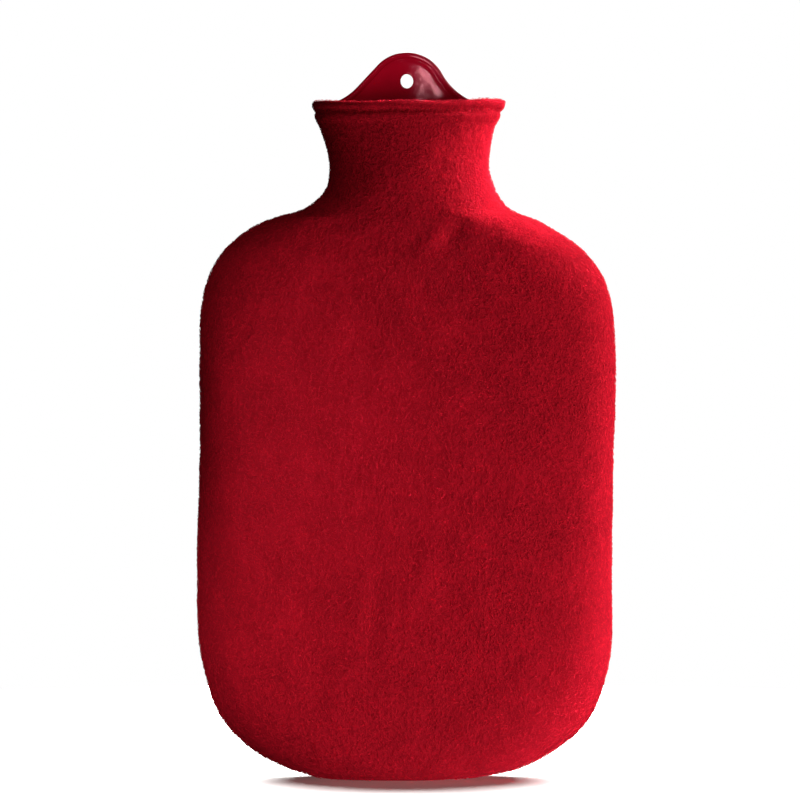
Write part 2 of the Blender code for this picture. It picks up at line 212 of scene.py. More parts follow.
CREASES = (
    Crease(-1, 22.5, 257.5, 58.0, 8.0, 4.0, -1.7),     # from the neck's right root
    Crease(-1, 35.0, 261.0, -22.0, 17.0, 6.0, 0.8),     # ridge over it, towards the shoulder
    Crease(-1, 36.0, 253.5, -22.0, 14.0, 5.5, -0.3),
    Crease(-1, 10.5, 254.5, 44.0, 10.0, 4.5, 0.8),
    Crease(-1, -10.0, 243.0, -5.0, 18.0, 6.5, 1.0),     # soft roll under the neck
    Crease(-1, -8.0, 252.5, -8.0, 20.0, 5.5, -0.7),
    Crease(-1, -32.0, 263.0, 10.0, 14.0, 6.0, -1.2),    # hollow at the neck's left root
    Crease(-1, -21.5, 82.0, 84.0, 22.0, 4.5, 0.5),      # upright creases above the base
    Crease(-1, -15.0, 76.0, 86.0, 20.0, 4.0, -0.5),
    Crease(-1, -9.0, 78.0, 82.0, 13.0, 4.5, 0.4),
    Crease(-1, 7.0, 92.0, 55.0, 13.0, 5.0, 0.4),
    Crease(-1, 19.5, 89.0, -50.0, 15.0, 5.0, -0.4),
    Crease(-1, -41.0, 52.0, 88.0, 18.0, 6.0, -0.8),
    Crease(-1, -84.0, 55.0, -62.0, 20.0, 7.0, 1.5),     # bulge over the left corner
    Crease(-1, -88.0, 80.0, 8.0, 10.0, 5.0, -1.4),
    Crease(1, -22.0, 256.0, -44.0, 12.0, 5.5, -1.8),
    Crease(1, 24.0, 258.0, 40.0, 12.0, 5.5, -1.5),
    Crease(1, 4.0, 246.0, 4.0, 22.0, 7.0, 1.1),
    Crease(1, 30.0, 80.0, 82.0, 20.0, 6.5, -1.1),
    Crease(1, -38.0, 66.0, -78.0, 18.0, 6.0, 1.0),
)


def crease_lifts(skin):
    """How far the creases lift each point of a skin; they fade out towards the seam."""
    x, z = skin[:, :, 0], skin[:, :, 2]
    on_front = np.arange(skin.shape[1]) <= skin.shape[1] // 2
    lifts = np.zeros(x.shape)
    for crease in CREASES:
        angle = math.radians(crease.angle)
        along = (x - crease.x) * math.cos(angle) + (z - crease.z) * math.sin(angle)
        across = (z - crease.z) * math.cos(angle) - (x - crease.x) * math.sin(angle)
        fade = np.exp(-(along / crease.length) ** 2 - (across / crease.width) ** 2)
        lifts += crease.height * fade * (on_front == (crease.side < 0))
    reach = np.abs(x).max(axis=1, keepdims=True)
    return lifts * (1 - np.abs(x / reach) ** 8)


print(len(CREASES), "creases")

# %% [markdown]
# ## The face of the cloth
#
# The solids reach as far as the pile, so the cloth's own face lies a pile's depth inside them.
# Close to the side seams both panels roll inwards to the stitching, which leaves a soft
# groove. Fleece is never quite flat either: a slow noise lifts and sinks it by a few tenths
# of a millimetre, which is what makes it look like cloth under a light from the side.

# %% The cloth's face up to the hem
SEAM_ROLL = 3.0        # each panel turns in over this much of its width
SEAM_TUCK = 0.8        # and its face is this much lower at the stitching
SEAM_TUCK_INSIDE = 0.4
FACE_INSET = 0.1       # the cloth's face stays this far inside what the solid reaches
SLOW_RISE, SLOW_SIZE = 0.32, 15.0      # height and size of the cloth's slow unevenness
QUICK_RISE, QUICK_SIZE = 0.16, 5.5     # and of the smaller one on it
ROW_COUNT = 205
HEM_DEPTH = 10.4
near_seam = np.array([0.0, 0.0015, 0.0035, 0.006, 0.009, 0.0125, 0.018])
PANEL_SHARES = np.concatenate([near_seam, np.linspace(0.025, 0.975, 108),
                               1 - near_seam[::-1]])
COLUMNS = len(PANEL_SHARES) - 1


def seam_tuck(skin):
    """How far each point of a skin sinks towards the seam."""
    steps = np.linalg.norm(np.diff(skin[:, :COLUMNS + 1], axis=1), axis=2)
    run = np.concatenate([np.zeros((len(skin), 1)), np.cumsum(steps, axis=1)], axis=1)
    to_seam = np.minimum(run, run[:, -1:] - run)
    half = SEAM_TUCK * np.clip(1 - to_seam / SEAM_ROLL, 0.0, 1.0) ** 2
    return np.concatenate([half, half[:, -2:0:-1]], axis=1)


def unevenness(skin):
    """Slow rises and dips of the cloth, in millimetres."""
    lifts = [SLOW_RISE * noise.noise(Vector(point) / SLOW_SIZE)
             + QUICK_RISE * noise.noise(Vector(point) / QUICK_SIZE)
             for point in skin.reshape(-1, 3)]
    return np.array(lifts).reshape(skin.shape[:2])


def above_foot(skin):
    """0 on the flat foot, where the weight presses the pile flat, and 1 from 8 mm up."""
    rise = np.clip(skin[:, :, 2] / 8.0, 0.0, 1.0)
    return rise**2 * (3 - 2 * rise)


hem_start = np.interp(HEM_TOP - HEM_DEPTH, FINE_HEIGHTS, FINE_DISTANCES)
plain = rings(sizes_at(np.linspace(0.0, hem_start, ROW_COUNT)), PANEL_SHARES)
skin = plain + normals_of(plain) * crease_lifts(plain)[:, :, None]
skin_normals = normals_of(skin)
inward = (PILE + seam_tuck(skin) - unevenness(skin)) * above_foot(skin) + FACE_INSET
cloth_face = skin - skin_normals * inward[:, :, None]
print("rows and columns of the cloth's face:", cloth_face.shape[:2])

# %% [markdown]
# ## The hem
#
# The neck edge is folded to the inside and sewn down, so the cloth is double there. The
# stitching pulls a groove into it, between a roll along the folded edge and a roll below. The
# edge isn't level: it rises at the side seams, where the layers are thickest.

# %% Rows of the hem
class HemRow(NamedTuple):
    """A level of the turned hem, and how far its layers stand out from a plain panel."""

    drop: float     # below the folded edge
    outer: float
    inner: float


HEM = (
    HemRow(10.4, 0.0, 0.0),
    HemRow(9.0, 0.5, 1.0),
    HemRow(7.2, 0.8, 1.2),
    HemRow(4.9, 0.0, 0.9),      # drawn in along the stitches
    HemRow(2.8, 0.8, 1.2),
)
HEM_CORNERS = 1.3      # how much higher the edge runs at the side seams
HEM_SLANT = 0.4        # and how much of that is more on the right
HEM_WAVE = 0.3         # how uneven it is between them
PILE_ON_EDGE = 0.5


def hem_offsets(drops, layer):
    """The hem's outer or inner layer at drops below the edge, eased between its rows."""
    known = np.array([row.drop for row in HEM])[::-1]
    offset = np.array([getattr(row, layer) for row in HEM])[::-1]
    place = np.interp(drops, known, np.arange(len(known)))
    first = np.clip(place.astype(int), 0, len(known) - 2)
    t = place - first
    t = (1 - np.cos(math.pi * t)) / 2
    return offset[first] + (offset[first + 1] - offset[first]) * t


def hem_rise():
    """How much the hem's edge rises and dips at each column, from the left seam round."""
    half = PANEL_SHARES * math.pi
    turn = np.concatenate([half, 2 * math.pi - half[-2:0:-1]])
    corners = HEM_CORNERS * np.cos(turn) ** 2 - HEM_SLANT * np.cos(turn)
    return corners + HEM_WAVE * np.sin(5 * turn + 0.6)


def neck_rows(drops):
    """Rings of the neck at drops below the hem's edge, rising and dipping with it."""
    rows = rings(sizes_of_heights(HEM_TOP - drops), PANEL_SHARES)
    rows[:, :, 2] += (1 - drops / HEM_DEPTH)[:, None] * hem_rise()
    return rows


outer_drops = np.linspace(HEM_DEPTH, HEM[-1].drop, 16)[1:]
outer_skin = neck_rows(outer_drops)
outer_normals = normals_of(outer_skin)
offsets = hem_offsets(outer_drops, "outer") - PILE - FACE_INSET
offsets = offsets[:, None] - seam_tuck(outer_skin) + 0.5 * unevenness(outer_skin)
hem_outside = outer_skin + outer_normals * offsets[:, :, None]
print("hem rows outside:", len(hem_outside))


# %% The folded edge and the hem's inside
def folded_edge(steps, outside, inside):
    """Rows over the hem's folded edge, between its outermost and innermost offsets."""
    plan_normals = outer_normals[-1] * (1, 1, 0)
    rows = []
    for turn in np.linspace(0.0, math.pi, steps + 2)[1:-1]:
        offset = (outside + inside) / 2 + (outside - inside) / 2 * math.cos(turn)
        drop = HEM[-1].drop - (HEM[-1].drop - PILE_ON_EDGE) * math.sin(turn)
        rows.append(neck_rows(np.array([drop]))[0] + plan_normals * offset[:, None])
    return np.array(rows)


# the hem's own levels, and two more between them
inner_drops = np.array([2.8, 4.0, 4.9, 6.0, 7.2, 9.0, 10.4])
inner_skin = neck_rows(inner_drops)
inner_sunk = (CLOTH + hem_offsets(inner_drops, "inner"))[:, None]
inner_sunk = inner_sunk + SEAM_TUCK_INSIDE / SEAM_TUCK * seam_tuck(inner_skin)
inner_normals = normals_of(inner_skin[::-1])[::-1]
hem_inside = inner_skin - inner_normals * inner_sunk[:, :, None]
hem_fold = folded_edge(7, offsets[-1], -inner_sunk[0])
print("hem rows over the edge and inside:", len(hem_fold), len(hem_inside))

# %% [markdown]
# ## From rows of points to a panel
#
# A panel is one closed thin sheet: up its outside, over the hem and down its inside. A grid
# with as many rows and columns is laid on these points, which is quicker and tidier than
# pulling a plane into shape. Doubles are merged and the open side is filled before the
# normals are worked out again.

# %% Lay a grid on rows of points
def sheet_on_rows(name, rows):
    """A closed object made of a grid that is laid on rows of points, in millimetres."""
    rows = np.array(rows) * MM
    bm = bmesh.new()
    bmesh.ops.create_grid(bm, x_segments=rows.shape[1] - 1, y_segments=rows.shape[0] - 1)
    for vertex, point in zip(bm.verts, rows.reshape(-1, 3)):
        vertex.co = point
    bmesh.ops.remove_doubles(bm, verts=bm.verts, dist=1e-6)
    bmesh.ops.holes_fill(bm, edges=bm.edges, sides=0)
    bmesh.ops.recalc_face_normals(bm, faces=bm.faces)
    mesh = bpy.data.meshes.new(name)
    bm.to_mesh(mesh)
    bm.free()
    mesh.shade_smooth()
    made = bpy.data.objects.new(name, mesh)
    bpy.context.scene.collection.objects.link(made)
    return made


def closed(rows):
    """Rings whose last point repeats the first."""
    rows = np.array(rows)
    return np.concatenate([rows, rows[:, :1]], axis=1)


def half_of(rows, side):
    """The front half of the rings (side -1) or the back half, moved off the seam's plane."""
    rows = closed(rows)
    half = rows[:, :COLUMNS + 1] if side < 0 else rows[:, COLUMNS:]
    return half + (0, side * SEAM_GAP / 2, 0)


def foot_seam(inset):
    """The seam under the base, as a ring that has closed up to a line."""
    line = ring(sizes_at(np.array([0.0]))[0], PANEL_SHARES, inset)
    return line * (FOOT_SEAM, 0, 0) + (0, 0, inset)


# %% The two panels
outside = np.concatenate([cloth_face, hem_outside, hem_fold])
inner_rows = np.arange(9, ROW_COUNT - 1, 3)
sunk = CLOTH + SEAM_TUCK_INSIDE / SEAM_TUCK * seam_tuck(skin[inner_rows])
lining_side = skin[inner_rows] - skin_normals[inner_rows] * sunk[:, :, None]
foot_inside = ring(sizes_at(np.array([0.0]))[0], PANEL_SHARES, CLOTH)
foot_inside[:, 2] = CLOTH
inside = np.concatenate([hem_inside, lining_side[::-1], [foot_inside]])
cover_rows = np.concatenate([[foot_seam(FACE_INSET)], outside, inside, [foot_seam(CLOTH)]])
front_panel = sheet_on_rows("fleece_front", half_of(cover_rows, -1))
back_panel = sheet_on_rows("fleece_back", half_of(cover_rows, 1))
for panel in (front_panel, back_panel):
    area = sum(face.area for face in panel.data.polygons) / 2
    print(panel.name, "faces:", len(panel.data.polygons), "cloth area m2:", round(area, 4))

# %% [markdown]
# ## Many small copies
#
# Pile and stitches are one small shape, repeated tens of thousands of times. A little spindle
# is made once, and arrays place all its copies in one go: each is stretched along its own
# direction, bent sideways and arched over the cloth. They become one joined mesh.

# %% Place bent spindles
def spindle(sides, rings_across):
    """Points and faces of a spindle of length 2 and radius 1 along X."""
    bm = bmesh.new()
    bmesh.ops.create_uvsphere(bm, u_segments=sides, v_segments=rings_across, radius=1.0)
    bmesh.ops.rotate(bm, verts=bm.verts, matrix=Matrix.Rotation(math.radians(90), 3, "Y"))
    points = np.array([vertex.co for vertex in bm.verts])
    faces = [[vertex.index for vertex in face.verts] for face in bm.faces]
    bm.free()
    return points, faces


class Strands(NamedTuple):
    """Where bent spindles lie, as arrays with one row or value for each."""

    middle: np.ndarray
    along: np.ndarray
    up: np.ndarray
    half_length: np.ndarray
    radius: np.ndarray
    bend: np.ndarray      # sideways at the middle
    arch: np.ndarray      # off the cloth at the middle
    tip: np.ndarray       # off the cloth at the far end


def joined_strands(name, shape, strands, tones, softness):
    """One mesh of all the strands. Their normals lean by softness towards the cloth's own."""
    points, faces = shape
    side = np.cross(strands.up, strands.along)
    s, u, v = points[:, 0], points[:, 1], points[:, 2]
    crown = 1 - s**2
    sideways = u * strands.radius[:, None] + crown * strands.bend[:, None]
    lift = v * strands.radius[:, None] + crown * strands.arch[:, None]
    lift = lift + np.clip(s, 0, 1) * strands.tip[:, None]
    ahead = s * strands.half_length[:, None]
    placed = (strands.middle[:, None] + strands.along[:, None] * ahead[:, :, None]
              + side[:, None] * sideways[:, :, None] + strands.up[:, None] * lift[:, :, None])
    count, each = len(strands.middle), len(points)
    corners = np.array([face + [face[-1]] * (4 - len(face)) for face in faces])
    all_faces = (np.arange(count)[:, None, None] * each + corners).reshape(-1, 4)
    mesh = bpy.data.meshes.new(name)
    lists = [face[:3] if face[2] == face[3] else face for face in all_faces.tolist()]
    mesh.from_pydata((placed.reshape(-1, 3) * MM).tolist(), [], lists)
    mesh.shade_smooth()
    tone = mesh.attributes.new("tone", "FLOAT", "POINT")
    tone.data.foreach_set("value", np.repeat(tones, each).astype(np.float32))
    own = np.zeros(count * each * 3, np.float32)
    mesh.vertex_normals.foreach_get("vector", own)
    leaning = own.reshape(count, each, 3) * (1 - softness) + strands.up[:, None] * softness
    mesh.normals_split_custom_set_from_vertices(leaning.reshape(-1, 3).tolist())
    made = bpy.data.objects.new(name, mesh)
    bpy.context.scene.collection.objects.link(made)
    return made


WISP = spindle(3, 2)
THREAD = spindle(8, 6)
print("faces of a wisp and of a stitch:", len(WISP[1]), len(THREAD[1]))

# %% [markdown]
# ## Fleece pile
#
# Brushed fleece has fine curled fibres, 2 to 3 mm long, that lie over each other in all
# directions. A real one is far thinner than a pixel, so each spindle here stands for a wisp of
# them. They are spread evenly over the cloth by area, from a seeded generator, so that every
# run gives the same pile.

# %% Spread wisps over a part of the cloth
WISP_HALF_LENGTHS = (0.9, 1.6)
WISP_RADII = (0.10, 0.17)
WISP_BENDS = (-0.5, 0.5)       # as shares of the half length
WISP_ARCHES = (0.25, 0.65)
WISP_TIPS = (-0.1, 0.45)
WISP_SOFTNESS = 0.85           # how far a wisp's normals lean towards the cloth's
ANY_WAY = 0.6                  # share that lie any way, while the rest are brushed down
BRUSHED_SPREAD = 0.45          # of those round straight down, in radians


def spread_wisps(rows, side, count, seed):
    """Wisps on a skin of rows of points, given from left to right."""
    random = np.random.default_rng(seed)
    across = np.gradient(rows, axis=1)
    upwards = np.gradient(rows, axis=0)
    normals = np.cross(across, upwards) * -side
    area = np.linalg.norm(normals, axis=2)
    normals /= area[:, :, None]
    cells = np.arange((rows.shape[0] - 1) * (rows.shape[1] - 1))
    weight = area[:-1, :-1].ravel()
    chosen = random.choice(cells, size=count, p=weight / weight.sum())
    row, column = np.divmod(chosen, rows.shape[1] - 1)
    a, b = random.random((2, count, 1))

    def between(grid):
        return ((grid[row, column] * (1 - a) + grid[row, column + 1] * a) * (1 - b)
                + (grid[row + 1, column] * (1 - a) + grid[row + 1, column + 1] * a) * b)

    up = between(normals)
    up /= np.linalg.norm(up, axis=1, keepdims=True)
    rise = between(upwards)
    rise -= up * (rise * up).sum(axis=1, keepdims=True)
    rise /= np.linalg.norm(rise, axis=1, keepdims=True)
    level = np.cross(rise, up)
    turn = np.where(random.random(count) < ANY_WAY, random.uniform(-math.pi, math.pi, count),
                    random.normal(math.pi, BRUSHED_SPREAD, count))
    along = rise * np.cos(turn)[:, None] + level * np.sin(turn)[:, None]
    half_length = random.uniform(*WISP_HALF_LENGTHS, count)
    return Strands(between(rows), along, up, half_length,
                   random.uniform(*WISP_RADII, count),
                   half_length * random.uniform(*WISP_BENDS, count),
                   random.uniform(*WISP_ARCHES, count),
                   random.uniform(*WISP_TIPS, count)), random.random(count)


# %% The pile pieces
WISPS_A_PIECE = 32000
pile_rows = cover_rows[4:len(outside) + 3]
pile_pieces = []
for side, name, copies in ((-1, "fleece_pile_front", 2), (1, "fleece_pile_back", 2)):
    face = half_of(pile_rows, side)
    if side > 0:
        face = face[:, ::-1]
    for copy in range(copies):
        strands, tones = spread_wisps(face, side, WISPS_A_PIECE, 11 + 7 * side + copy)
        piece = joined_strands(f"{name}_{copy + 1}", WISP, strands, tones, WISP_SOFTNESS)
        pile_pieces.append(piece)
        print(piece.name, "wisps:", len(tones))

# %% [markdown]
# ## Hem stitches
#
# One row of lockstitch holds the turned hem, in thread of the cloth's colour. The stitches
# are about 3 mm long and sink into the groove that they pull, so only their backs show
# between the fibres.

# %% Stitches along the hem's groove
STITCH_PITCH = 3.1
STITCH_DROP = 4.9
STITCH_HALF_LENGTH = 1.25
STITCH_RADIUS = 0.26
STITCH_ARCH = 0.42
STITCH_SUNK = 0.35     # how deep it lies in the groove


def stitches_along(line, normals):
    """Stitches along a closed line of points."""
    line, normals = closed([line, normals])
    run = np.concatenate([[0.0], np.cumsum(np.linalg.norm(np.diff(line, axis=0), axis=1))])
    count = int(run[-1] / STITCH_PITCH)
    at = (np.arange(count) + 0.5) / count * run[-1]

    def read(values, where):
        return np.stack([np.interp(where, run, values[:, axis], period=run[-1])
                         for axis in range(3)], axis=1)

    up = read(normals, at)
    up /= np.linalg.norm(up, axis=1, keepdims=True)
    along = read(line, at + 0.5) - read(line, at - 0.5)
    along -= up * (along * up).sum(axis=1, keepdims=True)
    along /= np.linalg.norm(along, axis=1, keepdims=True)
    full = np.ones(count)
    return Strands(read(line, at) - up * STITCH_SUNK, along, up, full * STITCH_HALF_LENGTH,
                   full * STITCH_RADIUS, full * 0.0, full * STITCH_ARCH, full * 0.0)


groove = np.argmin(np.abs(outer_drops - STITCH_DROP))
stitch_strands = stitches_along(hem_outside[groove], outer_normals[groove])
stitch_tones = np.random.default_rng(5).random(len(stitch_strands.middle))
hem_stitches = joined_strands("hem_stitches", THREAD, stitch_strands, stitch_tones, 0.0)
print("hem stitches:", len(stitch_tones))

# %% [markdown]
# ## The bottle's mouth
#
# Above the cover's neck the bottle is one moulding: a neck, a funnel with a rolled lip, and a
# hanging tab, which is the funnel's back wall drawn up into a bell. Its wall follows the
# inside of the hem. The lip's roll runs level round the front and up over the tab, so the
# rows near it are measured from the lip's edge and not from a level.

# %% Sizes of the mouth
RIM = 320.3            # lip of the funnel, just inside the hem
WALL = 2.0
BEAD = 3.0             # rolled edge along the lip and round the tab
BEAD_GROOVE = 0.3      # depth of the crease between the rolled edge and the wall
TAB_TOP = 347.2
TAB_CENTRE = 0.5
TAB_DOME = 19.2        # radius of the tab's round top
TAB_FADE = 8.0         # the tab dies out over this much of the funnel's side
FUNNEL_BASE = 311.0
FUNNEL_TOP = 313.0
THROAT_TOP = 302.0
THROAT_RADIUS = 10.5
THROAT_ROUNDING = 1.4
THROAT_FLOOR = 290.0
THREAD_PITCH = 4.0
THREAD_DEPTH = 0.7
MOUTH_HALF = 96        # columns round half of the mouth
MOUTH_SHARES = np.linspace(0.0, 1.0, MOUTH_HALF + 1)


def wall_middle(height):
    """The middle of the funnel's wall, inside the hem, as plan points and outward normals."""
    level = ring(sizes_of_heights(np.array([height]))[0], MOUTH_SHARES)
    normals = normals_of(np.array([level + (0, 0, step) for step in (-1, 0, 1)]))[1]
    middle = level - normals * (CLOTH + HEM[-1].inner + FIT + BEAD / 2)
    return middle[:, :2], normals[:, :2]


RIM_PLAN, RIM_NORMALS = wall_middle(RIM)
print("the lip is", np.ptp(RIM_PLAN, axis=0).round(1), "mm across")


# %% Outline of the tab
class Flank(NamedTuple):
    """How one side of the tab runs down from its dome to the lip."""

    slope: float     # in degrees
    fillet: float    # radius where it flares out into the lip


LEFT_FLANK = Flank(47.5, 30.0)
RIGHT_FLANK = Flank(61.0, 32.0)


def flank_heights(out, flank):
    """Height over the lip at distances out from the tab's middle: dome, slope, fillet."""
    slope = math.radians(flank.slope)
    height = TAB_TOP - RIM
    drop = (TAB_DOME + flank.fillet) * (1 - math.cos(slope))
    dome_end = TAB_DOME * math.sin(slope)
    fillet_start = dome_end + (height - drop) / math.tan(slope)
    fillet_end = fillet_start + flank.fillet * math.sin(slope)
    dome = height - TAB_DOME + np.sqrt(np.clip(TAB_DOME**2 - out**2, 0.0, None))
    straight = height - TAB_DOME * (1 - math.cos(slope)) - (out - dome_end) * math.tan(slope)
    to_end = np.clip(fillet_end - out, 0.0, None)
    fillet = flank.fillet - np.sqrt(np.clip(flank.fillet**2 - to_end**2, 0.0, None))
    return np.where(out < dome_end, dome, np.where(out < fillet_start, straight, fillet))


def lip_heights():
    """The lip's height at each column: level round the front, the tab at the back."""
    x = RIM_PLAN[:, 0] - TAB_CENTRE
    tab = np.where(x < 0, flank_heights(-x, LEFT_FLANK), flank_heights(x, RIGHT_FLANK))
    behind = np.clip(RIM_PLAN[:, 1] / TAB_FADE + 0.5, 0.0, 1.0)
    return RIM + tab * behind**2 * (3 - 2 * behind)


print("tab height 20 mm to its left and right:", lip_heights().max().round(1),
      flank_heights(np.array([20.0]), LEFT_FLANK).round(1),
      flank_heights(np.array([20.0]), RIGHT_FLANK).round(1))


# %% Rows of the lip
def lip_row(inset, offset):
    """A row this far in from the lip's edge, and this far out from the wall's middle."""
    plan = np.concatenate([RIM_PLAN, RIM_PLAN[:1]])
    run = np.concatenate([[0.0], np.cumsum(np.hypot(*np.diff(plan, axis=0).T))])
    heights = lip_heights()
    ahead = np.roll(heights, -1) - np.roll(heights, 1)
    step = np.gradient(run)[:-1] * 2
    length = np.hypot(ahead, step)
    along = run[:-1] + inset * ahead / length
    level = heights - inset * step / length
    x = np.interp(along, run, plan[:, 0], period=run[-1])
    y = np.interp(along, run, plan[:, 1], period=run[-1])
    lowered = np.clip((RIM - level) / BEAD, 0, 1)[:, None]
    flare = (wall_middle(RIM - BEAD)[0] - RIM_PLAN) * lowered
    spot = np.stack([x, y], axis=1) + flare + RIM_NORMALS * offset
    return np.concatenate([spot, level[:, None]], axis=1)


def lip_bead():
    """Rows over the rolled edge, from the wall's outside to its inside."""
    foot = [(BEAD + 2.2, WALL / 2), (BEAD + 1.2, WALL / 2 - BEAD_GROOVE / 3),
            (BEAD + 0.5, WALL / 2 - BEAD_GROOVE), (BEAD - 0.1, WALL / 2 - BEAD_GROOVE),
            (BEAD - 0.4, WALL / 2 + 0.12)]
    rows = [lip_row(inset, offset) for inset, offset in foot]
    for turn in np.radians(np.linspace(-45.0, 225.0, 13)):
        rows.append(lip_row(BEAD / 2 * (1 - math.sin(turn)), BEAD / 2 * math.cos(turn)))
    rows.extend(lip_row(inset, -offset) for inset, offset in reversed(foot))
    return rows


bead_rows = lip_bead()
print("rows over the lip:", len(bead_rows))


# %% Rows of the funnel, throat and neck
def wall_row(height, offset):
    """A level row of the wall, this far out from its middle."""
    plan, normals = wall_middle(height)
    return np.concatenate([plan + normals * offset, np.full((len(plan), 1), height)], axis=1)


def circle_row(radii, height):
    """A level circle with the mouth's columns, round the bottle's axis."""
    turn = math.pi + np.arange(2 * MOUTH_HALF) / MOUTH_HALF * math.pi
    level = np.full_like(turn, height)
    return np.stack([radii * np.cos(turn), radii * np.sin(turn), level], axis=1)


def neck_outside(height):
    """The bottle's outer face in the plain part of the neck."""
    levels = rings(sizes_of_heights(np.array([height - 1, height, height + 1])), MOUTH_SHARES)
    level = levels[1] - normals_of(levels)[1] * (CLOTH + FIT)
    level[:, 2] = height
    return level


def blended(first, second, count):
    """Rows from one row to another, without either."""
    return [first + (second - first) * share for share in np.linspace(0, 1, count + 2)[1:-1]]


def bowl_rows(top, throat):
    """Rows of the funnel's bowl, which turns from its upright wall into the throat."""
    rows = []
    for turn in np.radians(np.linspace(0.0, 90.0, 16)[1:-1]):
        row = top + (throat - top) * (1 - math.cos(turn))
        row[:, 2] = FUNNEL_TOP - (FUNNEL_TOP - THROAT_TOP) * math.sin(turn)
        rows.append(row)
    return rows


def throat_rows():
    """Rows down the throat with the screw thread that the stopper grips."""
    turn = np.arange(2 * MOUTH_HALF) / MOUTH_HALF / 2
    rows = []
    for height in np.arange(THROAT_TOP - THROAT_ROUNDING, THROAT_FLOOR - 0.01, -0.4):
        phase = (height / THREAD_PITCH - turn) % 1.0
        ridge = np.clip(1 - np.abs(phase - 0.5) / 0.28, 0, 1) ** 0.7
        fade = np.clip((THROAT_TOP - THROAT_ROUNDING - height) / 1.2, 0, 1)
        rows.append(circle_row(THROAT_RADIUS - THREAD_DEPTH * ridge * fade, height))
    return rows


# %% The mouth as one moulding
outer_wall = wall_row(FUNNEL_BASE, WALL / 2)
inner_wall = wall_row(FUNNEL_TOP, -WALL / 2)
throat_edge = circle_row(THROAT_RADIUS + THROAT_ROUNDING, THROAT_TOP)
mouth_rows = [neck_outside(height) for height in np.linspace(SPLIT + SEAM_GAP / 2, 307.0, 12)]
mouth_rows += blended(mouth_rows[-1], outer_wall, 2) + [outer_wall]
mouth_rows += blended(outer_wall, bead_rows[0], 16) + bead_rows
mouth_rows += blended(bead_rows[-1], inner_wall, 16) + [inner_wall]
mouth_rows += bowl_rows(inner_wall, throat_edge) + [throat_edge]
for turn in np.radians((30.0, 60.0)):
    radius = THROAT_RADIUS + THROAT_ROUNDING * (1 - math.sin(turn))
    mouth_rows.append(circle_row(radius, THROAT_TOP - THROAT_ROUNDING * (1 - math.cos(turn))))
mouth_rows += throat_rows()
mouth = sheet_on_rows("rubber_mouth", closed(mouth_rows))
print("faces of the mouth:", len(mouth.data.polygons))

# %% [markdown]
# ## The hanging hole
#
# The hole is moulded with a soft edge. A cutter is spun from a short profile that widens at
# both faces of the tab, and a Boolean takes it out of the mouth. Its result is kept and the
# cutter goes, so the finished piece is a plain mesh.

# %% Cut the hole
HOLE_WIDTH = 6.0
HOLE_HEIGHT = 6.8
HOLE_LEVEL = 333.3
HOLE_ROUNDING = 0.55


def hole_cutter(centre):
    """An oval plug along Y, wider at both faces of the tab."""
    bm = bmesh.new()
    profile = []
    for turn in np.radians(np.linspace(0.0, 90.0, 6)):
        widening = HOLE_ROUNDING * (1 - math.cos(turn))
        depth = WALL / 2 - HOLE_ROUNDING * (1 - math.sin(turn))
        profile.append((0.5 + widening / HOLE_WIDTH, depth))
    profile = [(0.0, -4.0), (profile[-1][0], -4.0)] + [
        (radius, -depth) for radius, depth in reversed(profile)] + profile + [
        (profile[-1][0], 4.0), (0.0, 4.0)]
    line = [bm.verts.new((radius, depth, 0.0)) for radius, depth in profile]
    edges = [bm.edges.new(pair) for pair in zip(line, line[1:])]
    bmesh.ops.spin(bm, geom=line + edges, cent=(0, 0, 0), axis=(0, 1, 0),
                   angle=2 * math.pi, steps=48, use_merge=True, use_duplicate=False)
    bmesh.ops.remove_doubles(bm, verts=bm.verts, dist=1e-5)
    bmesh.ops.recalc_face_normals(bm, faces=bm.faces)
    bmesh.ops.scale(bm, verts=bm.verts, vec=(HOLE_WIDTH, 1.0, HOLE_HEIGHT))
    bmesh.ops.translate(bm, verts=bm.verts, vec=centre)
    bmesh.ops.scale(bm, verts=bm.verts, vec=(MM, MM, MM))
    cutter = bpy.data.objects.new("hole_cutter", bpy.data.meshes.new("hole_cutter"))
    bm.to_mesh(cutter.data)
    bm.free()
    bpy.context.scene.collection.objects.link(cutter)
    return cutter


cutter = hole_cutter((TAB_CENTRE, RIM_PLAN[:, 1].max(), HOLE_LEVEL))
cut = mouth.modifiers.new("hanging hole", "BOOLEAN")
cut.operation = "DIFFERENCE"
cut.solver = "EXACT"
cut.object = cutter
depsgraph = bpy.context.evaluated_depsgraph_get()
cut_mesh = bpy.data.meshes.new_from_object(mouth.evaluated_get(depsgraph))
mouth.modifiers.clear()
mouth.data = cut_mesh
bpy.data.objects.remove(cutter)
mouth.data.shade_smooth()
mouth.data.set_sharp_from_angle(angle=math.radians(50))
print("faces of the mouth with its hole:", len(mouth.data.polygons))

# %% [markdown]
# ## Materials
#
# Every finish is procedural. One helper adds a node with its settings and links, and one turns
# the hex colours, which are how a screen shows them, into the linear values of the shader.

# %% Two helpers for materials
def linear(code):
    """An sRGB hex colour as linear RGBA."""
    parts = np.array([int(code[i:i + 2], 16) / 255 for i in (1, 3, 5)])
    curve = np.where(parts <= 0.04045, parts / 12.92, ((parts + 0.055) / 1.055) ** 2.4)
    return (*curve, 1.0)


def add(tree, kind, inputs=(), **settings):
    """A node of that kind. inputs gives sockets their values, or the outputs linked to them."""
    node = tree.nodes.new(kind)
    for name, value in settings.items():
        setattr(node, name, value)
    for name, value in dict(inputs).items():
        if isinstance(value, bpy.types.NodeSocket):
            tree.links.new(value, node.inputs[name])
        else:
            node.inputs[name].default_value = value
    return node


def new_material(name, **sockets):
    """A material with its tree and shader, and the shader's own sockets set."""
    material = bpy.data.materials.new(name)
    material.use_nodes = True
    shader = material.node_tree.nodes["Principled BSDF"]
    for socket, value in sockets.items():
        shader.inputs[socket.replace("_", " ")].default_value = value
    return material, material.node_tree, shader


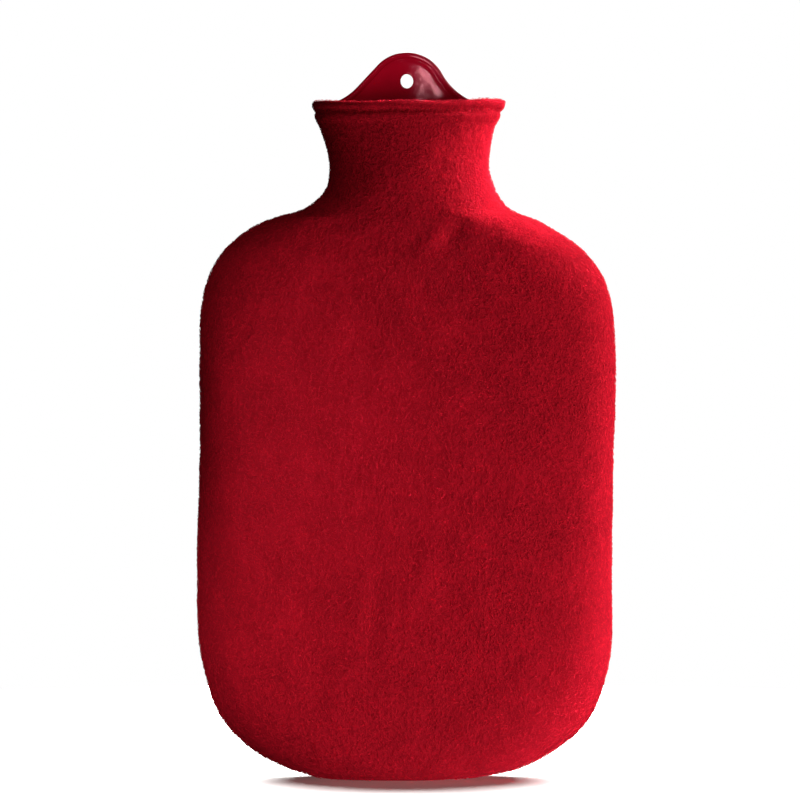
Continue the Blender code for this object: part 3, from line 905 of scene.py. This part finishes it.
def paint(piece, material):
    """The piece gets one material on all its faces."""
    piece.data.materials.clear()
    piece.data.materials.append(material)


print("linear red:", [round(v, 3) for v in linear("#C80A1E")])

# %% [markdown]
# ### Fleece
#
# Polyester fleece, knitted and then brushed: matt, hardly any gloss, a faint sheen from the
# fibre ends. The cloth between the wisps is darker than they are. Its fine mottle is painted
# highlight and shade of curled fibres 1 to 2 mm long: the colour follows the same curls as
# the bump, lighter on their tops and darker between them. The brushing leaves slow lighter
# and darker clouds of tone.

# %% Fleece of the panels
fleece, tree, shader = new_material(
    "brushed polyester fleece", Roughness=0.95, Specular_IOR_Level=0.04,
    Sheen_Weight=0.12, Sheen_Roughness=0.5, Sheen_Tint=linear("#FF1838"))
where = add(tree, "ShaderNodeTexCoord").outputs["Object"]
# curls of about 1.3 mm: noise cells of 1 / 750 m, pulled out of shape by a coarser noise
curls = add(tree, "ShaderNodeTexNoise",
            {"Vector": where, "Scale": 750.0, "Detail": 3.0, "Roughness": 0.65,
             "Distortion": 1.6}).outputs["Fac"]
clouds = add(tree, "ShaderNodeTexNoise",
             {"Vector": where, "Scale": 55.0, "Detail": 3.0, "Roughness": 0.55}).outputs["Fac"]
# painted highlight and shade: most of this is the curls, so the cloth is lighter on their
# raised tops and darker between them; the rest is slow clouds of tone
curl_shade_and_tone = add(tree, "ShaderNodeMix",
             {0: 0.3, 2: curls, 3: clouds}, data_type="FLOAT").outputs[0]
ramp = add(tree, "ShaderNodeValToRGB", {"Fac": curl_shade_and_tone})
ramp.color_ramp.elements[0].position = 0.36
ramp.color_ramp.elements[0].color = linear("#960C1B")
ramp.color_ramp.elements[1].position = 0.64
ramp.color_ramp.elements[1].color = linear("#CA1429")
tree.links.new(ramp.outputs["Color"], shader.inputs["Base Color"])
bump = add(tree, "ShaderNodeBump",
           {"Height": curls, "Strength": 0.5, "Distance": 0.0006}).outputs["Normal"]
tree.links.new(bump, shader.inputs["Normal"])
for panel in (front_panel, back_panel):
    paint(panel, fleece)
print(fleece.name, "nodes:", len(tree.nodes))

# %% Fibres of the pile
# The same dyed polyester as loose fibres. Light gets through real fibres, so they look
# lighter than the cloth under them; here that is painted light, a lighter base colour than
# the cloth's. Each wisp has a tone of its own.
fibre, tree, shader = new_material(
    "loose polyester fibre", Roughness=0.8, Specular_IOR_Level=0.05,
    Sheen_Weight=0.15, Sheen_Roughness=0.5, Sheen_Tint=linear("#FF1838"))
tone = add(tree, "ShaderNodeAttribute", attribute_name="tone").outputs["Fac"]
ramp = add(tree, "ShaderNodeValToRGB", {"Fac": tone})
ramp.color_ramp.elements[0].color = linear("#A80D22")
ramp.color_ramp.elements[1].color = linear("#E81E32")
tree.links.new(ramp.outputs["Color"], shader.inputs["Base Color"])
for piece in pile_pieces:
    paint(piece, fibre)
print(fibre.name, "on", len(pile_pieces), "pieces")

# %% Sewing thread
# Spun polyester thread, dyed to match: smoother than the fleece, with the slant of its twist.
# Its lighter and darker bands are painted shade: they follow the twist's bump, darker where it
# is low.
thread, tree, shader = new_material("spun polyester thread", Roughness=0.6,
                                    Specular_IOR_Level=0.3)
where = add(tree, "ShaderNodeTexCoord").outputs["Object"]
# two plies of a 0.5 mm thread turn about every millimetre
twist = add(tree, "ShaderNodeTexWave",
            {"Vector": where, "Scale": 320.0, "Distortion": 1.0}, bands_direction="DIAGONAL")
# painted shade: the colour is darker in the grooves between the plies and lighter on their
# backs
ramp = add(tree, "ShaderNodeValToRGB", {"Fac": twist.outputs["Fac"]})
ramp.color_ramp.elements[0].color = linear("#8C0514")
ramp.color_ramp.elements[1].color = linear("#BE0A1E")
tree.links.new(ramp.outputs["Color"], shader.inputs["Base Color"])
bump = add(tree, "ShaderNodeBump", {"Height": twist.outputs["Fac"], "Strength": 0.4,
                                    "Distance": 0.0002}).outputs["Normal"]
tree.links.new(bump, shader.inputs["Normal"])
paint(hem_stitches, thread)
print(thread.name)

# %% [markdown]
# ### Rubber
#
# The bottle is compression moulded from soft rubber, dyed through. Its polished mould leaves
# the tab glossy, with the faint waviness of a soft moulding and small rub marks.

# %% Rubber of the mouth and the bottle
def moulded_rubber(name, roughness, wave_height):
    """Glossy dyed rubber; wave_height in metres is how uneven its skin is."""
    material, tree, shader = new_material(name, IOR=1.52, Specular_IOR_Level=0.5,
                                          Specular_Tint=linear("#FFA0B0"))
    where = add(tree, "ShaderNodeTexCoord").outputs["Object"]
    # slow waves of 5 mm from the mould, and rub marks of half a millimetre
    waves = add(tree, "ShaderNodeTexNoise",
                {"Vector": where, "Scale": 200.0, "Detail": 2.0}).outputs["Fac"]
    rubs = add(tree, "ShaderNodeTexNoise",
               {"Vector": where, "Scale": 1400.0, "Detail": 4.0,
                "Roughness": 0.7}).outputs["Fac"]
    # painted shade: the colour follows the waves that make most of the bump, darker in their
    # hollows and lighter on their crests
    painted_wave_shade = add(tree, "ShaderNodeValToRGB", {"Fac": waves})
    painted_wave_shade.color_ramp.elements[0].color = linear("#A0041C")
    painted_wave_shade.color_ramp.elements[1].color = linear("#B00622")
    gloss = add(tree, "ShaderNodeMapRange",
                {"Value": rubs, "From Min": 0.35, "From Max": 0.75,
                 "To Min": roughness, "To Max": roughness + 0.08}).outputs["Result"]
    uneven = add(tree, "ShaderNodeMix", {0: 0.25, 2: waves, 3: rubs},
                 data_type="FLOAT").outputs[0]
    bump = add(tree, "ShaderNodeBump", {"Height": uneven, "Strength": 0.5,
                                        "Distance": wave_height}).outputs["Normal"]
    tree.links.new(painted_wave_shade.outputs["Color"], shader.inputs["Base Color"])
    tree.links.new(gloss, shader.inputs["Roughness"])
    tree.links.new(bump, shader.inputs["Normal"])
    return material


paint(mouth, moulded_rubber("glossy moulded rubber", 0.03, 0.0002))
body_rubber = moulded_rubber("matt moulded rubber", 0.4, 0.0003)
for material_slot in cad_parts["bottle_body"].material_slots:
    material_slot.material = body_rubber
print("rubber on", mouth.name, "and bottle_body")

# %% [markdown]
# ## Studio
#
# The photo is a cut-out on white. Its bright side is the right one, so a soft key stands high
# on the right and a second one low on the right. Two weak lights low in front stand for the
# table's bounce. Narrow gridded ones lift the neck and its right root, the left of the body
# and the lower right corner. Nothing else reaches the left, so the form reads from dark to
# bright. One more stands behind, for the back. All of them are white.
#
# The glossy tab has lights of its own, which draw the bright patch beside its hole and the
# line along its bead. A pale round table top catches the contact shadow: its light stands
# behind and above, so the shadow falls forward and stays under the base. The table top also
# glows faintly pink, which is painted light: it lifts the shadow and tints it like red light
# thrown back from the cover.

# %% Floor
floor_mesh = bpy.data.meshes.new("table_top")
bm = bmesh.new()
bmesh.ops.create_circle(bm, cap_ends=True, segments=128, radius=0.6)
bmesh.ops.translate(bm, verts=bm.verts, vec=(0.0, 0.0, -0.0003))
bm.to_mesh(floor_mesh)
bm.free()
floor = bpy.data.objects.new("table_top", floor_mesh)
bpy.context.scene.collection.objects.link(floor)
floor.visible_diffuse = False
floor.visible_glossy = False
# painted light: the paper glows faintly pink, lifting the contact shadow and tinting it like
# red light thrown back from the cover
paper, tree, shader = new_material("matt white paper with painted pink glow", Base_Color=linear("#F2F1EF"),
                                   Roughness=1.0, Specular_IOR_Level=0.0,
                                   Emission_Color=linear("#FFC8C6"),
                                   Emission_Strength=0.1)
where = add(tree, "ShaderNodeTexCoord").outputs["Object"]
# paper tooth of about half a millimetre
tooth = add(tree, "ShaderNodeTexNoise", {"Vector": where, "Scale": 2000.0}).outputs["Fac"]
bump = add(tree, "ShaderNodeBump", {"Height": tooth, "Strength": 0.1,
                                    "Distance": 0.0001}).outputs["Normal"]
tree.links.new(bump, shader.inputs["Normal"])
paint(floor, paper)
print("table top:", floor.name)

# %% Lights
pieces = [front_panel, back_panel, *pile_pieces, hem_stitches, mouth]
rubber_objects = [mouth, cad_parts["bottle_body"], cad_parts["bottle_mouth"]]


def lit(name, objects):
    """A collection of the objects that some lights are for."""
    collection = bpy.data.collections.new(name)
    for thing in objects:
        collection.objects.link(thing)
    return collection


lit_part = lit("lit_part", [*pieces, *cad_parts.values()])
lit_cloth = lit("lit_cloth", pieces[:-1])
lit_rubber = lit("lit_rubber", rubber_objects)
lit_table = lit("lit_table", [floor])


def softbox(name, place, aim, size, power, receivers, spread=180.0):
    """A rectangular area light that only the receivers catch, and no camera sees. The floor
    throws no shadow on the part, so that a low light can stand for the table's bounce. A
    spread under 180 degrees stands for a grid in front of the light."""
    data = bpy.data.lights.new(name, "AREA")
    data.shape = "RECTANGLE"
    data.size, data.size_y = size
    data.energy = power
    data.spread = math.radians(spread)
    lamp = bpy.data.objects.new(name, data)
    lamp.location = place
    lamp.rotation_euler = (Vector(aim) - Vector(place)).to_track_quat("-Z", "Y").to_euler()
    lamp.light_linking.receiver_collection = receivers
    if receivers is not lit_table:
        lamp.light_linking.blocker_collection = lit_part
    lamp.visible_camera = False
    bpy.context.scene.collection.objects.link(lamp)
    return lamp


MIDDLE = (0.0, 0.0, 0.16)
LOW = (0.0, 0.0, 0.08)
NECK = (0.01, 0.0, 0.293)
NECK_ROOT = (0.036, 0.0, 0.262)
LEFT_BODY = (-0.05, 0.0, 0.15)
LEFT_CORNER = (-0.09, 0.0, 0.06)
LEFT_SHOULDER = (-0.08, 0.0, 0.235)
RIGHT_CORNER = (0.085, 0.0, 0.035)
TAB = (0.0, 0.017, 0.335)
GRID = 12.0            # degrees that a gridded light spreads over
softbox("side_key", (0.83, 0.07, 1.16), MIDDLE, (0.5, 0.5), 19.6, lit_cloth)
softbox("low_side", (1.07, -0.5, -0.39), MIDDLE, (0.5, 0.5), 5.4, lit_cloth)
softbox("low_right", (0.38, -0.32, 0.0), LOW, (0.25, 0.25), 1.17, lit_cloth)
softbox("low_front", (0.17, -0.47, 0.0), LOW, (0.25, 0.25), 0.42, lit_cloth)
softbox("neck_side", (0.79, 0.0, 0.74), NECK, (0.06, 0.06), 0.072, lit_cloth, GRID + 2)
softbox("root_spot", (0.6, -0.5, 0.95), NECK_ROOT, (0.04, 0.04), 0.004, lit_cloth, GRID / 3)
softbox("body_spot", (-0.05, -0.85, 0.46), LEFT_BODY, (0.1, 0.1), 0.010, lit_cloth, GRID)
softbox("corner_spot", (-0.67, -0.69, 0.06), LEFT_CORNER, (0.1, 0.1), 0.018, lit_cloth, GRID)
softbox("shoulder_spot", (-0.5, -0.73, 0.54), LEFT_SHOULDER, (0.1, 0.1), 0.006, lit_cloth, GRID)
softbox("low_corner", (0.98, -0.1, -0.5), RIGHT_CORNER, (0.1, 0.1), 0.045, lit_cloth, GRID)
softbox("back_fill", (0.35, 1.3, 0.5), MIDDLE, (0.8, 0.8), 14.0, lit_part)
softbox("tab_glint", (-0.115, -1.0, 0.515), TAB, (0.03, 0.025), 0.5, lit_rubber)
softbox("tab_strip", (-0.1, -0.9, 0.9), TAB, (1.6, 0.03), 1.0, lit_rubber)
softbox("tab_key", (0.83, 0.07, 1.16), MIDDLE, (0.5, 0.5), 4.0, lit_rubber)
softbox("tab_fill", (-0.3, -1.2, 0.0), TAB, (0.4, 0.4), 8.5, lit_rubber)
softbox("table_light", (0.0, 0.45, 1.0), (0.0, 0.0, 0.0), (3.0, 0.3), 190.0, lit_table)

# %% White surroundings
world = bpy.data.worlds.new("white_studio")
bpy.context.scene.world = world
world.use_nodes = True
tree = world.node_tree
seen = tree.nodes["Background"]
seen.inputs["Color"].default_value = linear("#FFFFFF")
seen.inputs["Strength"].default_value = 1.0
dim = add(tree, "ShaderNodeBackground", {"Color": linear("#FFFFFF"), "Strength": 0.02})
path = add(tree, "ShaderNodeLightPath")
both = add(tree, "ShaderNodeMixShader", {0: path.outputs["Is Camera Ray"],
                                         1: dim.outputs[0], 2: seen.outputs[0]})
tree.links.new(both.outputs[0], tree.nodes["World Output"].inputs["Surface"])
bpy.context.scene.view_settings.view_transform = "Standard"
print("world:", world.name)

# %% [markdown]
# ## Hand the pieces to the frame
#
# There is one body, so every piece rides on it. The panels and the mouth stand for their CAD
# nodes, which are hidden.

for piece in pieces:
    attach(piece, "root")
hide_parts("cover_front")
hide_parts("cover_back")
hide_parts("bottle_mouth")
